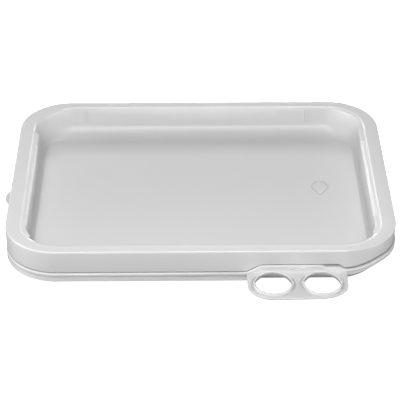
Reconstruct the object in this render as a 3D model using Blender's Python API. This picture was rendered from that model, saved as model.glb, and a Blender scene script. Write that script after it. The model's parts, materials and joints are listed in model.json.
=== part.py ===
"""A wet palette: a flat moulded tray with a lift-off lid, a sponge and a pad of palette paper.

The tray and the lid are lofts of rounded rectangles. Each ring of a loft is the outer outline of the
box drawn in by an inset, and the height of a few rings changes along the outline, where the edges
rise over the finger tab at the front right. The frame has +Z up, +X to the right and +Y to the back,
with its origin at the middle of the face that the tray stands on. Lengths are in metres.
"""

import math
from typing import NamedTuple

import bmesh
import bpy

# Driving dimensions of the closed box.
LENGTH = 0.4064
DEPTH = 0.3048
HEIGHT = 0.04445
CORNER_RADIUS = 0.0558
WALL = 0.0018
REST_GAP = 0.0003

# Straight stretches between the corners, measured from the middle of each side.
RUN_X = LENGTH / 2 - CORNER_RADIUS
RUN_Y = DEPTH / 2 - CORNER_RADIUS
CORNER_STEPS = 8
CORNER_END = RUN_X + CORNER_RADIUS * math.pi / 2

# Where the edges change height, as distances along the outline from the middle of the front.
NOTCH_START = 0.0432
NOTCH_FULL = 0.0635
NAIL_START = 0.1196
NAIL_FULL = 0.1274
PEEL_START = 0.1390
PEEL_FULL = RUN_X
CORNER_MIDDLE = RUN_X + CORNER_RADIUS * math.pi / 4
PEEL_END = CORNER_END + 0.030
RAMP_STEPS = 6

# Lid: rim, recess and skirt.
RIM_WIDTH_X = 0.0155
RIM_WIDTH_Y = 0.0115
RIM_ROUND = 0.0026
RECESS_DEPTH = 0.0325
RECESS_WALL_DEPTH = 0.0240
RECESS_DRAFT = 0.0040
RECESS_COVE_X = 0.0070
RECESS_COVE_Y = 0.0130
COVE_MIDDLE = 0.55
COVE_LIFT = 0.0016
RECESS_FLOOR_RADIUS = 0.0320
SKIRT_FOOT = 0.01905
SKIRT_NOTCH = 0.02745
SKIRT_PEEL = 0.02355
SKIRT_CORNER = 0.0290

# Tray: body, rim bead and outer flange.
BODY_INSET_TOP = 0.0055
BODY_INSET_FOOT = 0.0152
FOOT_ROUND = 0.0012
FLOOR_COVE = 0.0026
BEAD_INSET = WALL + REST_GAP
BEAD_HEIGHT = 0.0028
LEDGE_TOP = 0.01765
LEDGE_NOTCH = 0.02625
LEDGE_NAIL = 0.02345
LEDGE_PEEL = 0.02055
LEDGE_CORNER = 0.0258
LEDGE_ROUND = 0.0010
FLANGE_FOOT = 0.0080
FLANGE_FOOT_RAISED = 0.0142
FLANGE_FOOT_CORNER = 0.0212

# Thumb lip at the foot of the flange, just behind the middle of the left side.
LIP_CENTRE_Y = 0.0040
LIP_LENGTH = 0.0310
LIP_REACH = 0.0110
LIP_STEPS = 14

# Finger tab with its two collared holes.
TAB_HOLE_X = (0.0726, 0.1220)
TAB_HOLE_Y = -0.1722
TAB_HOLE_RADIUS = 0.0180
TAB_COLLAR_RADIUS = 0.0200
TAB_END_REACH_X = 0.0265
TAB_END_REACH_Y = (0.0250, 0.0232)
TAB_BOTTOM = 0.01585
TAB_TOP = 0.01805
TAB_COLLAR_TOP = 0.02025
TAB_STEPS = 10
HOLE_SEGMENTS = 40

# Contents: a compressed sponge sheet under a pad of separate sheets of palette paper.
SPONGE_SIZE = (0.360, 0.258, 0.0022)
SPONGE_CORNER = 0.0300
SHEET_SIZE = (0.356, 0.254, 0.00006)
SHEET_CORNER = 0.0280
SHEET_COUNT = 30
SHEET_GAP = 0.00002
CONTENTS_CORNER_STEPS = 5

MILKY_LID = ("milky_lid", (0.80, 0.80, 0.80, 1.0), 0.30)
MILKY_TRAY = ("milky_tray", (0.76, 0.76, 0.76, 1.0), 0.34)
CELLULOSE = ("cellulose_sponge", (0.80, 0.68, 0.42, 1.0), 0.95)
PAPER = ("palette_paper", (0.90, 0.89, 0.86, 1.0), 0.80)


class Station(NamedTuple):
    """One ring of a loft: how far it is drawn in along X and Y, its height and its corner radius."""

    inset_x: float
    inset_y: float
    height: object
    radius: float


class EdgeStep(NamedTuple):
    """A smooth change of an edge's height between two distances along the outline."""

    start: float
    end: float
    level: float


LID_EDGE = (
    EdgeStep(NOTCH_START, NOTCH_FULL, SKIRT_NOTCH),
    EdgeStep(PEEL_START, PEEL_FULL, SKIRT_PEEL),
    EdgeStep(PEEL_FULL, CORNER_MIDDLE, SKIRT_CORNER),
    EdgeStep(CORNER_END, PEEL_END, SKIRT_FOOT),
)
LEDGE_EDGE = (
    EdgeStep(NOTCH_START, NOTCH_FULL, LEDGE_NOTCH),
    EdgeStep(NAIL_START, NAIL_FULL, LEDGE_NAIL),
    EdgeStep(PEEL_START, PEEL_FULL, LEDGE_PEEL),
    EdgeStep(PEEL_FULL, CORNER_MIDDLE, LEDGE_CORNER),
    EdgeStep(CORNER_END, PEEL_END, LEDGE_TOP),
)
FLANGE_EDGE = (
    EdgeStep(NOTCH_START, NOTCH_FULL, FLANGE_FOOT_RAISED),
    EdgeStep(PEEL_FULL, CORNER_MIDDLE, FLANGE_FOOT_CORNER),
    EdgeStep(CORNER_END, PEEL_END, FLANGE_FOOT),
)


def clear_scene():
    """Remove every object that the opened file holds."""
    for thing in list(bpy.data.objects):
        bpy.data.objects.remove(thing, do_unlink=True)


def make_collection(name):
    """Return a new collection that is linked to the scene."""
    collection = bpy.data.collections.new(name)
    bpy.context.scene.collection.children.link(collection)
    return collection


def make_material(recipe):
    """Return a Principled material from its name, colour and roughness."""
    name, colour, roughness = recipe
    material = bpy.data.materials.new(name)
    material.use_nodes = True
    shader = material.node_tree.nodes["Principled BSDF"]
    shader.inputs["Base Color"].default_value = colour
    shader.inputs["Roughness"].default_value = roughness
    shader.inputs["Metallic"].default_value = 0.0
    return material


def ramp(start, end):
    """Return evenly spaced distances from start to end, both included."""
    return [start + (end - start) * step / RAMP_STEPS for step in range(RAMP_STEPS + 1)]


def side_stops():
    """Return, for the front, right, back and left side, the fractions of its run that have points."""
    front = [-RUN_X, *ramp(NOTCH_START, NOTCH_FULL)]
    front += [NAIL_START, NAIL_FULL, *ramp(PEEL_START, PEEL_FULL)]
    right = [*ramp(-RUN_Y, -RUN_Y + PEEL_END - CORNER_END), RUN_Y]
    return [
        [distance / RUN_X for distance in front],
        [distance / RUN_Y for distance in right],
        [-1.0, 1.0],
        [-1.0, 1.0],
    ]


def rounded_ring(half_x, half_y, radius, stops, corner_steps):
    """Return the points of a rounded rectangle, counter-clockwise from the left end of the front."""
    halves = (half_x, half_y)
    points = []
    for side, fractions in enumerate(stops):
        angle = side * math.pi / 2
        along = (math.cos(angle), math.sin(angle))
        outward = (math.sin(angle), -math.cos(angle))
        run = halves[side % 2] - radius
        reach = halves[(side + 1) % 2]
        for fraction in fractions:
            points.append(tuple(fraction * run * a + reach * o for a, o in zip(along, outward)))
        for step in range(1, corner_steps):
            turn = step / corner_steps * math.pi / 2
            forth = run + radius * math.sin(turn)
            out = reach - radius + radius * math.cos(turn)
            points.append(tuple(forth * a + out * o for a, o in zip(along, outward)))
    return points


def outline_distances(points):
    """Return each point's distance along the outline from the middle of the front."""
    distances = [-RUN_X]
    for before, here in zip(points, points[1:]):
        distances.append(distances[-1] + math.dist(before, here))
    return distances


def edge_heights(level, steps, distances):
    """Return an edge's height at each distance along the outline, after its smooth changes."""
    heights = []
    for distance in distances:
        height = level
        for step in steps:
            share = min(max((distance - step.start) / (step.end - step.start), 0.0), 1.0)
            height += (step.level - height) * share * share * (3.0 - 2.0 * share)
        heights.append(height)
    return heights


def lowered(heights, drop):
    """Return heights moved down by a drop."""
    return [height - drop for height in heights]


def body_inset(height):
    """Return how far the tray's outer wall is drawn in at a height."""
    share = (HEIGHT - height) / HEIGHT
    return BODY_INSET_TOP + (BODY_INSET_FOOT - BODY_INSET_TOP) * share


def box_station(inset, height, inset_y=None, radius=None):
    """Return a station whose corner stays concentric with the outer corner unless it is given."""
    across = inset if inset_y is None else inset_y
    return Station(inset, across, height, radius or CORNER_RADIUS - (inset + across) / 2)


def link_mesh(name, bm, material, collection):
    """Turn a bmesh into a named object with a material, with its faces pointing out."""
    bmesh.ops.recalc_face_normals(bm, faces=bm.faces)
    mesh = bpy.data.meshes.new(name)
    bm.to_mesh(mesh)
    bm.free()
    mesh.shade_smooth()
    mesh.set_sharp_from_angle(angle=math.radians(30))
    if material:
        mesh.materials.append(material)
    thing = bpy.data.objects.new(name, mesh)
    collection.objects.link(thing)
    return thing


def loft(name, stations, material, collection):
    """Join the stations' rings with bands of faces and close the first and the last ring."""
    bm = bmesh.new()
    stops = side_stops()
    rings = []
    for station in stations:
        half_x = LENGTH / 2 - station.inset_x
        half_y = DEPTH / 2 - station.inset_y
        outline = rounded_ring(half_x, half_y, station.radius, stops, CORNER_STEPS)
        heights = station.height
        if not isinstance(heights, list):
            heights = [heights] * len(outline)
        rings.append([bm.verts.new((x, y, z)) for (x, y), z in zip(outline, heights)])
    for inner, outer in zip(rings, rings[1:]):
        for here in range(len(inner)):
            after = (here + 1) % len(inner)
            bm.faces.new((inner[here], inner[after], outer[after], outer[here]))
    bm.faces.new(rings[0])
    bm.faces.new(rings[-1])
    return link_mesh(name, bm, material, collection)


def slab(name, size, corner, bottom, material, collection):
    """Make a flat sheet with rounded corners, lying with its underside at a height."""
    length, depth, thickness = size
    bm = bmesh.new()
    outline = rounded_ring(length / 2, depth / 2, corner, [[-1.0, 1.0]] * 4, CONTENTS_CORNER_STEPS)
    face = bm.faces.new([bm.verts.new((x, y, 0.0)) for x, y in outline])
    raised = bmesh.ops.extrude_face_region(bm, geom=[face])["geom"]
    top = [item for item in raised if isinstance(item, bmesh.types.BMVert)]
    bmesh.ops.translate(bm, verts=top, vec=(0.0, 0.0, thickness))
    thing = link_mesh(name, bm, material, collection)
    thing.location.z = bottom
    return thing


def upright_cylinder(name, x, y, radius, bottom, top, collection):
    """Make a closed upright cylinder for a Boolean."""
    bm = bmesh.new()
    bmesh.ops.create_cone(
        bm, cap_ends=True, segments=HOLE_SEGMENTS, radius1=radius, radius2=radius, depth=top - bottom
    )
    thing = link_mesh(name, bm, None, collection)
    thing.location = (x, y, (top + bottom) / 2)
    return thing


def as_helper(thing):
    """Hide an object that only takes part in Booleans."""
    thing.hide_render = True
    thing.display_type = "WIRE"
    return thing


def add_boolean(target, helper, operation):
    """Join a helper to a target, or cut it out of it."""
    modifier = target.modifiers.new(f"{operation.lower()}_{helper.name}", "BOOLEAN")
    modifier.operation = operation
    modifier.solver = "EXACT"
    modifier.object = as_helper(helper)


def lip_outline():
    """Return the thumb lip's outline: a flat arch that grows out of the left side."""
    root = -LENGTH / 2 + WALL / 2
    half = LIP_LENGTH / 2
    points = [(root, LIP_CENTRE_Y - half)]
    for step in range(LIP_STEPS + 1):
        turn = step / LIP_STEPS * math.pi
        x = -LENGTH / 2 - LIP_REACH * math.sin(turn)
        points.append((x, LIP_CENTRE_Y - half * math.cos(turn)))
    points.append((root, LIP_CENTRE_Y + half))
    return points


def tab_outline():
    """Return the finger tab's outline, from its root at the left round its two ends to the right."""
    left, right = TAB_HOLE_X
    root = -DEPTH / 2 + WALL / 2
    points = [(left - TAB_END_REACH_X, root)]
    for middle, reach, start in zip(TAB_HOLE_X, TAB_END_REACH_Y, (math.pi, 3 * math.pi / 2)):
        for step in range(TAB_STEPS + 1):
            turn = start + step / TAB_STEPS * math.pi / 2
            x = middle + TAB_END_REACH_X * math.cos(turn)
            points.append((x, TAB_HOLE_Y + reach * math.sin(turn)))
    points.append((right + TAB_END_REACH_X, root))
    return points


def flat_plate(name, outline, bottom, top, collection):
    """Make a flat plate from its outline, as a filled 2D curve turned into a mesh."""
    curve = bpy.data.curves.new(name, "CURVE")
    curve.dimensions = "2D"
    curve.fill_mode = "BOTH"
    curve.extrude = (top - bottom) / 2
    spline = curve.splines.new("POLY")
    spline.points.add(len(outline) - 1)
    for point, (x, y) in zip(spline.points, outline):
        point.co = (x, y, 0.0, 1.0)
    spline.use_cyclic_u = True
    drawn = bpy.data.objects.new(f"{name}_outline", curve)
    collection.objects.link(drawn)
    drawn.location.z = (top + bottom) / 2
    bpy.context.view_layer.update()
    mesh = bpy.data.meshes.new_from_object(drawn.evaluated_get(bpy.context.evaluated_depsgraph_get()))
    bm = bmesh.new()
    bm.from_mesh(mesh)
    bmesh.ops.remove_doubles(bm, verts=bm.verts, dist=0.00001)
    plate = link_mesh(name, bm, None, collection)
    plate.matrix_world = drawn.matrix_world
    bpy.data.objects.remove(drawn, do_unlink=True)
    return plate


def lid_stations(distances):
    """Return the lid's rings, from the panel's top over the rim and skirt to the panel's underside."""
    skirt = edge_heights(SKIRT_FOOT, LID_EDGE, distances)
    wall_foot = HEIGHT - RECESS_WALL_DEPTH
    panel = HEIGHT - RECESS_DEPTH
    cove_radius = (RECESS_FLOOR_RADIUS + CORNER_RADIUS - RIM_WIDTH_X) / 2

    def recess(inward, cove, height, radius=None):
        inset_x = RIM_WIDTH_X + inward + cove * RECESS_COVE_X
        inset_y = RIM_WIDTH_Y + inward + cove * RECESS_COVE_Y
        return box_station(inset_x, height, inset_y, radius)

    rim_turns = [step / 3 * math.pi / 2 for step in range(4)]
    rim = [
        box_station(RIM_ROUND * (1 - math.sin(turn)), HEIGHT - RIM_ROUND * (1 - math.cos(turn)))
        for turn in rim_turns
    ]
    return [
        recess(RECESS_DRAFT, 1.0, panel, RECESS_FLOOR_RADIUS),
        recess(RECESS_DRAFT, COVE_MIDDLE, panel + COVE_LIFT, cove_radius),
        recess(RECESS_DRAFT, 0.0, wall_foot),
        recess(WALL / 3, 0.0, HEIGHT - WALL / 2),
        recess(0.0, 0.0, HEIGHT),
        *rim,
        box_station(0.0, skirt),
        box_station(WALL, skirt),
        box_station(WALL, HEIGHT - WALL),
        recess(-WALL, 0.0, HEIGHT - WALL),
        recess(RECESS_DRAFT - WALL, 0.0, wall_foot - WALL / 2),
        recess(RECESS_DRAFT - WALL / 2, COVE_MIDDLE, panel + COVE_LIFT - WALL, cove_radius),
        recess(RECESS_DRAFT - WALL / 3, 1.0, panel - WALL, RECESS_FLOOR_RADIUS),
    ]


def tray_stations(distances):
    """Return the tray's rings, from the floor over the rim bead and the flange to the foot."""
    ledge = edge_heights(LEDGE_TOP, LEDGE_EDGE, distances)
    flange = edge_heights(FLANGE_FOOT, FLANGE_EDGE, distances)
    rim_top = HEIGHT - WALL - REST_GAP
    under_bead = rim_top - 2 * BEAD_HEIGHT
    web = body_inset(LEDGE_TOP)
    return [
        box_station(BODY_INSET_FOOT + WALL + FLOOR_COVE, WALL),
        box_station(BODY_INSET_FOOT + WALL + FLOOR_COVE / 4, WALL + FLOOR_COVE / 4),
        box_station(body_inset(WALL + FLOOR_COVE) + WALL, WALL + FLOOR_COVE),
        box_station(BODY_INSET_TOP + WALL, rim_top - WALL / 3),
        box_station(BODY_INSET_TOP + WALL * 2 / 3, rim_top),
        box_station(BEAD_INSET + WALL / 3, rim_top),
        box_station(BEAD_INSET, rim_top - WALL / 3),
        box_station(BEAD_INSET, rim_top - BEAD_HEIGHT),
        box_station(body_inset(under_bead), under_bead),
        box_station(web, ledge),
        box_station(LEDGE_ROUND, ledge),
        box_station(LEDGE_ROUND / 4, lowered(ledge, LEDGE_ROUND / 4)),
        box_station(0.0, lowered(ledge, LEDGE_ROUND)),
        box_station(0.0, flange),
        box_station(WALL, flange),
        box_station(WALL, lowered(ledge, WALL)),
        box_station(web, lowered(ledge, WALL)),
        box_station(BODY_INSET_FOOT, FOOT_ROUND),
        box_station(BODY_INSET_FOOT + FOOT_ROUND, 0.0),
    ]


def build_tray(distances, material, pieces, helpers):
    """Make the tray with its thumb lip and its finger tab."""
    tray = loft("tray", tray_stations(distances), material, pieces)
    lip = flat_plate("thumb_lip", lip_outline(), FLANGE_FOOT, FLANGE_FOOT + WALL, helpers)
    add_boolean(tray, lip, "UNION")
    add_boolean(tray, flat_plate("tab_plate", tab_outline(), TAB_BOTTOM, TAB_TOP, helpers), "UNION")
    for number, x in enumerate(TAB_HOLE_X, start=1):
        collar = upright_cylinder(
            f"tab_collar_{number}", x, TAB_HOLE_Y, TAB_COLLAR_RADIUS, TAB_BOTTOM, TAB_COLLAR_TOP, helpers
        )
        add_boolean(tray, collar, "UNION")
    for number, x in enumerate(TAB_HOLE_X, start=1):
        hole = upright_cylinder(f"tab_hole_{number}", x, TAB_HOLE_Y, TAB_HOLE_RADIUS, 0.0, HEIGHT, helpers)
        add_boolean(tray, hole, "DIFFERENCE")
    return tray


def build_lid(distances, material, pieces):
    """Make the lid with its recessed panel and its overhanging skirt."""
    return loft("lid", lid_stations(distances), material, pieces)


def build_contents(pieces):
    """Lay the sponge on the tray's floor and the sheets of palette paper on the sponge."""
    sponge_bottom = WALL + REST_GAP
    slab("sponge", SPONGE_SIZE, SPONGE_CORNER, sponge_bottom, make_material(CELLULOSE), pieces)
    paper = make_material(PAPER)
    bottom = sponge_bottom + SPONGE_SIZE[2] + SHEET_GAP
    for number in range(1, SHEET_COUNT + 1):
        slab(f"palette_sheet_{number:02d}", SHEET_SIZE, SHEET_CORNER, bottom, paper, pieces)
        bottom += SHEET_SIZE[2] + SHEET_GAP


def main():
    """Build the whole palette."""
    clear_scene()
    pieces = make_collection("wet_palette")
    helpers = make_collection("cutters")
    outer = rounded_ring(LENGTH / 2, DEPTH / 2, CORNER_RADIUS, side_stops(), CORNER_STEPS)
    distances = outline_distances(outer)
    build_tray(distances, make_material(MILKY_TRAY), pieces, helpers)
    build_lid(distances, make_material(MILKY_LID), pieces)
    build_contents(pieces)


main()
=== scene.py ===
"""The looks of a wet palette: a milky moulded tray, its lift-off lid, a sponge and a pad of paper.

The lid and the tray are swept round one rounded-rectangle outline. At every stop along it a section
of knees is rounded and set in place; a knee says how far in from the outline it is, and how high.
Everything is in metres, with +Z up, +X to the right, +Y to the back, and the origin under the middle.
"""

from __future__ import annotations

import json
import logging
import math
from dataclasses import dataclass, field
from enum import Enum
from typing import Callable, NamedTuple, Sequence

import bmesh
import bpy
from mathutils import Matrix, Vector

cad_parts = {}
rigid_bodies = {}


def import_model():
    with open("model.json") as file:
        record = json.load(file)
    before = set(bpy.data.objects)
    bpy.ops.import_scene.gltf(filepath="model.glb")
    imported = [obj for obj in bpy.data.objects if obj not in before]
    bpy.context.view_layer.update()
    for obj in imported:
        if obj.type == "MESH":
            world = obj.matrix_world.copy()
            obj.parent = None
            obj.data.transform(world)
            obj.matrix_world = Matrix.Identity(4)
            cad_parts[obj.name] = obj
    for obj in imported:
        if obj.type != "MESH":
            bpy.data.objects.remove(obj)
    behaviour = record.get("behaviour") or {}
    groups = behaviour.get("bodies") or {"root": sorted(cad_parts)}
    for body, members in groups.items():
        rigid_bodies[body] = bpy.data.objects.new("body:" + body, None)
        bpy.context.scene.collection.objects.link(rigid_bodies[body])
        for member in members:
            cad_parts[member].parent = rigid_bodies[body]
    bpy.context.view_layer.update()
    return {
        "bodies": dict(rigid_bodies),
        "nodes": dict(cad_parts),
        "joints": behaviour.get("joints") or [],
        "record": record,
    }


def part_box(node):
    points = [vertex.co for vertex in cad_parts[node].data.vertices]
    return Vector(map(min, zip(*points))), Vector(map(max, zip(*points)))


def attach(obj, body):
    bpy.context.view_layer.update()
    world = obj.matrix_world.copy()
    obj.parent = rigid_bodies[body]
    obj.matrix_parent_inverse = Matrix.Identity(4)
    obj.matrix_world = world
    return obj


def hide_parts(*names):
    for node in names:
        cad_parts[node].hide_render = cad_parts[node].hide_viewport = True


LOG = logging.getLogger("wet_palette")

Colour = tuple[float, float, float, float]
Point = tuple[float, float]
Place = tuple[float, float, float]
Stretch = tuple[float, float, int]
Settings = dict[str, object] | None
Values = dict[str | int, object] | None

# Edge attribute: rubbed wear that also lightens the plastic's colour along rounded edges as a painted
# highlight.
WEAR_AND_HIGHLIGHT = "edge_wear_and_highlight"
TURN = "turn"
QUARTER = math.pi / 2
HAIR = 1e-9
CLOSEST_STOPS = 0.00012
STOP_DIGITS = 7
ROUNDING_STEPS = 4
LONGEST_ROUNDING = 0.46
DOUBLED = 1e-6


class Body(Enum):
    """The bodies that pieces ride on."""

    TRAY = "tray"
    SPONGE = "sponge"
    PAPER = "sheet_pad"
    LID = "lid"


class Slot(Enum):
    """The record's finishes."""

    TRAY = "tray_plastic"
    LID = "lid_plastic"
    SPONGE = "sponge"
    PAPER = "paper"


class Side(Enum):
    """The sides of the box, in the order in which the outline passes them."""

    FRONT = 0
    RIGHT = 1
    BACK = 2
    LEFT = 3


def mixed(first: float, second: float, share: float) -> float:
    """Return the value at a share of the way from the first to the second."""
    return first + (second - first) * share


def eased(value: float, start: float, end: float) -> float:
    """Return 0 before start, 1 after end and a smooth rise between them.

    Args:
        value: Where along the rise to look.
        start: Where the rise begins.
        end: Where the rise is complete.

    Returns:
        The share of the rise, from 0 to 1.
    """
    share = min(max((value - start) / (end - start), 0.0), 1.0)
    return share * share * (3.0 - 2.0 * share)


# --------------------------------------------------------------------------------------------------
# Materials
# --------------------------------------------------------------------------------------------------


class Wire:
    """A node's output, on which Python's arithmetic adds Math nodes."""

    def __init__(self, bench: "Bench", socket: bpy.types.NodeSocket) -> None:
        """Keep the socket and the bench whose tree it belongs to."""
        self.bench = bench
        self.socket = socket

    def _maths(self, operation: str, *terms: "Wire | float") -> "Wire":
        """Add a Math node.

        Args:
            operation: The Math node's operation.
            *terms: Its inputs, in order.

        Returns:
            Its result.
        """
        return self.bench.wire("ShaderNodeMath", {"operation": operation}, dict(enumerate(terms)))

    def __add__(self, other: "Wire | float") -> "Wire":
        """Add."""
        return self._maths("ADD", self, other)

    def __sub__(self, other: "Wire | float") -> "Wire":
        """Subtract."""
        return self._maths("SUBTRACT", self, other)

    def __rsub__(self, other: "Wire | float") -> "Wire":
        """Subtract this from another value."""
        return self._maths("SUBTRACT", other, self)

    def __mul__(self, other: "Wire | float") -> "Wire":
        """Multiply."""
        return self._maths("MULTIPLY", self, other)

    def at_least(self, low: float) -> "Wire":
        """Return the value, or low where the value is less."""
        return self._maths("MAXIMUM", self, low)

    def ramped(self, low: float, high: float) -> "Wire":
        """Return 0 below low, 1 above high and a smooth rise between them."""
        return self.bench.wire(
            "ShaderNodeMapRange",
            {"interpolation_type": "SMOOTHSTEP"},
            {"Value": self, "From Min": low, "From Max": high},
            "Result",
        )


class Bench:
    """A node tree under construction."""

    def __init__(self, tree: bpy.types.NodeTree) -> None:
        """Keep the tree."""
        self.tree = tree

    def node(self, kind: str, settings: Settings = None, values: Values = None) -> bpy.types.Node:
        """Add a node.

        Args:
            kind: The node's type.
            settings: Its properties, set before its sockets, with a colour ramp's stops under "stops".
            values: What its sockets hold or are linked to, by name or number.

        Returns:
            The node.
        """
        made = self.tree.nodes.new(kind)
        for key, setting in (settings or {}).items():
            if key == "stops":
                for stop, (position, colour) in zip(made.color_ramp.elements, setting):
                    stop.position = position
                    stop.color = colour
            else:
                setattr(made, key, setting)
        for key, value in (values or {}).items():
            if isinstance(value, Wire):
                self.tree.links.new(value.socket, made.inputs[key])
            else:
                made.inputs[key].default_value = value
        return made

    def wire(
        self, kind: str, settings: Settings = None, values: Values = None, output: str | int = 0
    ) -> Wire:
        """Add a node and return one of its outputs."""
        return Wire(self, self.node(kind, settings, values).outputs[output])


class Grain(NamedTuple):
    """A noise: its features in a metre, its octaves, and how strong the finer ones are."""

    scale: float
    detail: float = 2.0
    roughness: float = 0.5


class Recipe(Bench):
    """A material under construction, with its Principled shader."""

    def __init__(self, name: str) -> None:
        """Start a material of this name with nothing but the shader and the output."""
        self.material = bpy.data.materials.new(name)
        self.material.use_nodes = True
        super().__init__(self.material.node_tree)
        self.tree.nodes.clear()
        self.shader = self.node("ShaderNodeBsdfPrincipled")
        surface = Wire(self, self.shader.outputs["BSDF"])
        self.node("ShaderNodeOutputMaterial", None, {"Surface": surface})

    def place(self, scale: Place = (1.0, 1.0, 1.0), turn: Place = (0.0, 0.0, 0.0)) -> Wire:
        """Return the object's own coordinates, scaled and turned."""
        own = self.wire("ShaderNodeTexCoord", output="Object")
        return self.wire(
            "ShaderNodeMapping",
            {"vector_type": "POINT"},
            {"Vector": own, "Scale": scale, "Rotation": turn},
        )

    def noise(self, place: Wire, grain: Grain) -> Wire:
        """Return noise from 0 to 1 at a place."""
        values = {"Vector": place, "Scale": grain.scale, "Detail": grain.detail}
        values["Roughness"] = grain.roughness
        return self.wire("ShaderNodeTexNoise", {"noise_dimensions": "3D"}, values, "Fac")

    def cells(self, place: Wire, scale: float) -> Wire:
        """Return the distances of a Voronoi pattern."""
        values = {"Vector": place, "Scale": scale}
        return self.wire("ShaderNodeTexVoronoi", {"feature": "F1"}, values, "Distance")

    def worn_and_highlit(self) -> Wire:
        """Return the piece's edge wear and painted edge highlight, from its own attribute."""
        settings = {"attribute_type": "GEOMETRY", "attribute_name": WEAR_AND_HIGHLIGHT}
        return self.wire("ShaderNodeAttribute", settings, output="Fac")

    def blended(self, share: Wire, first: Colour, second: Colour) -> Wire:
        """Return a colour that goes from the first to the second with a share."""
        settings = {"data_type": "RGBA", "blend_type": "MIX"}
        return self.wire("ShaderNodeMix", settings, {0: share, 6: first, 7: second}, 2)

    def bumped(self, height: Wire, distance: float) -> Wire:
        """Return a normal for a height that is given in shares of a distance."""
        values = {"Height": height, "Distance": distance, "Strength": 1.0}
        return self.wire("ShaderNodeBump", None, values)

    def finish(self, constants: dict[str, object], **varying: Wire) -> bpy.types.Material:
        """Set the shader's own sockets and link those that vary.

        Args:
            constants: What is the same all over the surface, by socket name.
            **varying: What changes over the surface: base_color, roughness or normal.

        Returns:
            The material.
        """
        for key, value in constants.items():
            self.shader.inputs[key].default_value = value
        for key, value in varying.items():
            socket = self.shader.inputs[key.replace("_", " ").title()]
            self.tree.links.new(value.socket, socket)
        return self.material


@dataclass(frozen=True)
class MilkyPlastic:
    """Milky moulded polyethylene: slightly cloudy, satin, with a fine grain and rubbed edges whose colour
    is lightened as a painted highlight.
    """

    name: str
    tone: float
    tone_spread: float = 0.018
    blue_share: float = 0.998
    gloss: float = 0.36
    gloss_spread: float = 0.07
    scuffed_gloss: float = 0.10
    rubbed_gloss: float = 0.05
    relief: float = 0.001
    ripple_height: float = 0.00022
    grain_height: float = 0.000012
    scuff_depth: float = 0.000006
    clouds: Grain = Grain(11.0, 3.0, 0.55)
    specks: Grain = Grain(420.0, 1.0)
    grain: Grain = Grain(1500.0, 2.0, 0.6)
    ripples: Grain = Grain(26.0, 1.0)
    scuff_patches: Grain = Grain(15.0, 1.0)
    scuff_ways: tuple[Point, ...] = ((0.42, 900.0), (-1.05, 760.0))

    def made(self) -> bpy.types.Material:
        """Return the material."""
        recipe = Recipe(self.name)
        place = recipe.place()
        cloud = recipe.noise(place, self.clouds)
        speck = recipe.noise(place, self.specks)
        scuffs = self._scuffs(recipe)
        worn_and_highlit = recipe.worn_and_highlit()
        # The edge attribute lightens the colour along rounded edges as a painted highlight, beside the
        # rubbed wear it also stands for.
        share = (cloud - 0.5) * 1.4 + (speck - 0.5) * 0.25 + worn_and_highlit * 0.9 + scuffs * 0.35 + 0.5
        dark, light = self.tone - self.tone_spread, self.tone + self.tone_spread
        colour = recipe.blended(
            share.ramped(-0.4, 1.4),
            (dark, dark, dark * self.blue_share, 1.0),
            (light, light, light * self.blue_share, 1.0),
        )
        roughness = (cloud - 0.5) * self.gloss_spread + scuffs * self.scuffed_gloss
        roughness = roughness + worn_and_highlit * self.rubbed_gloss + self.gloss
        ripple = recipe.noise(place, self.ripples) * (self.ripple_height / self.relief)
        grain = recipe.noise(place, self.grain) * (self.grain_height / self.relief)
        height = ripple + grain - scuffs * (self.scuff_depth / self.relief)
        constants = {
            "IOR": 1.5,
            "Specular IOR Level": 0.5,
            "Subsurface Weight": 0.12,
            "Subsurface Radius": (1.0, 1.0, 0.95),
            "Subsurface Scale": 0.0022,
        }
        normal = recipe.bumped(height, self.relief)
        return recipe.finish(constants, base_color=colour, roughness=roughness, normal=normal)

    def _scuffs(self, recipe: Recipe) -> Wire:
        """Return thin faint scratches that run in two directions."""
        lines = None
        for turn, stretch in self.scuff_ways:
            place = recipe.place((stretch, 9.0, 30.0), (0.0, 0.0, turn))
            line = recipe.noise(place, Grain(1.0, 0.0)).ramped(0.78, 0.86)
            where = recipe.noise(recipe.place(), self.scuff_patches).ramped(0.52, 0.72)
            lines = line * where if lines is None else lines + line * where
        return lines


@dataclass(frozen=True)
class CelluloseSponge:
    """Damp pressed cellulose sponge: a warm yellow felt of fibres with open pores of several sizes."""

    name: str
    light: Colour = (0.80, 0.66, 0.36, 1.0)
    # The darker end of the colour blend; inside the pores it is painted shade.
    deep: Colour = (0.50, 0.35, 0.12, 1.0)
    relief: float = 0.0005
    flattened: Place = (1.0, 1.0, 2.2)
    fibre_stretch: Place = (2600.0, 900.0, 900.0)
    wide_pores: float = 260.0
    fine_pores: float = 850.0

    def made(self) -> bpy.types.Material:
        """Return the material."""
        recipe = Recipe(self.name)
        place = recipe.place(self.flattened)
        warp = recipe.noise(place, Grain(240.0))
        wide = recipe.cells(place, self.wide_pores).ramped(0.10, 0.42)
        fine = recipe.cells(place, self.fine_pores).ramped(0.05, 0.45)
        fibre = recipe.noise(recipe.place(self.fibre_stretch), Grain(1.0, 2.0, 0.6))
        solid = (wide * 0.62 + fine * 0.38) * (warp * 0.5 + 0.75)
        tint = recipe.noise(place, Grain(16.0))
        # The pores take the deep colour as painted shade inside them; the fibres and the tint add the
        # sponge's own random tone.
        share = (solid * 0.8 + fibre * 0.14 + tint * 0.25).ramped(0.12, 1.15)
        constants = {"IOR": 1.45, "Specular IOR Level": 0.25}
        constants |= {"Sheen Weight": 0.25, "Sheen Roughness": 0.6}
        return recipe.finish(
            constants,
            base_color=recipe.blended(share, self.deep, self.light),
            roughness=1.0 - solid * 0.12,
            normal=recipe.bumped(solid + fibre * 0.18, self.relief),
        )


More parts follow.
